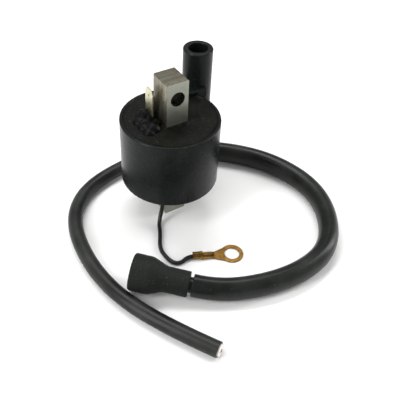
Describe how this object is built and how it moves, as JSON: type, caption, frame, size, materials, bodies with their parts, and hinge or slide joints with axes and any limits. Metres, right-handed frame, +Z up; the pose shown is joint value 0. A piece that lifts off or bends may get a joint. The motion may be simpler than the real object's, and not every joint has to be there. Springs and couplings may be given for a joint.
{
  "type": "ignition coil",
  "caption": "Potted cup ignition coil on a laminated bar core, with a socket tower, a push-on blade, an earth wire and a loose high-tension lead with a rubber boot.",
  "frame": {"origin": "centre of the bar core's lower end face, on the surface that the coil stands on", "axes": "+Z up along the bar core, +X across its width towards the tower, +Y through its plates, so that the holed front faces -Y"},
  "size_m": [0.1267, 0.1248, 0.0742],
  "materials": {
    "core_steel": "brushed, slightly oxidised plate edges",
    "paper": "matte insulating paper",
    "bobbin_plastic": "matte moulded nylon",
    "copper_winding": null,
    "case_plastic": "glossy moulded black",
    "potting_resin": "matte black cast resin",
    "tower_plastic": "glossy moulded black",
    "contact_brass": "plain",
    "copper_wire": null,
    "blade_tin": "tinned, satin",
    "sealant": "semi-gloss dab of sealant",
    "wire_pvc": "semi-gloss black",
    "terminal_brass": "tarnished, satin",
    "lead_rubber": "satin black",
    "lead_insulation": "matte white",
    "sleeve_rubber": "satin black",
    "boot_rubber": "matte dark grey"
  },
  "bodies": {
    "coil": {"core_laminations": "core_steel", "core_tube": "paper", "primary_bobbin": "bobbin_plastic", "primary_winding": "copper_winding", "primary_insulation": "paper", "secondary_bobbin": "bobbin_plastic", "secondary_winding": "copper_winding", "secondary_start_wire": "copper_winding", "case_cup": "case_plastic", "potting_fill": "potting_resin", "ht_tower": "tower_plastic", "tower_contact": "contact_brass", "ht_link": "copper_wire", "terminal_blade": "blade_tin", "blade_link": "copper_wire", "terminal_sealant": "sealant", "wire_jacket": "wire_pvc", "wire_core": "copper_wire", "ring_terminal": "terminal_brass", "lead_jacket": "lead_rubber", "lead_insulation": "lead_insulation", "lead_conductor": "copper_wire", "lead_sleeve": "sleeve_rubber"},
    "boot": {"lead_boot": "boot_rubber"}
  },
  "joints": [
    {"name": "boot_slide", "type": "slide", "parent": "coil", "child": "boot", "axis": [0.7318, -0.6748, -0.096], "range_m": [0, 0.0012]}
  ]
}
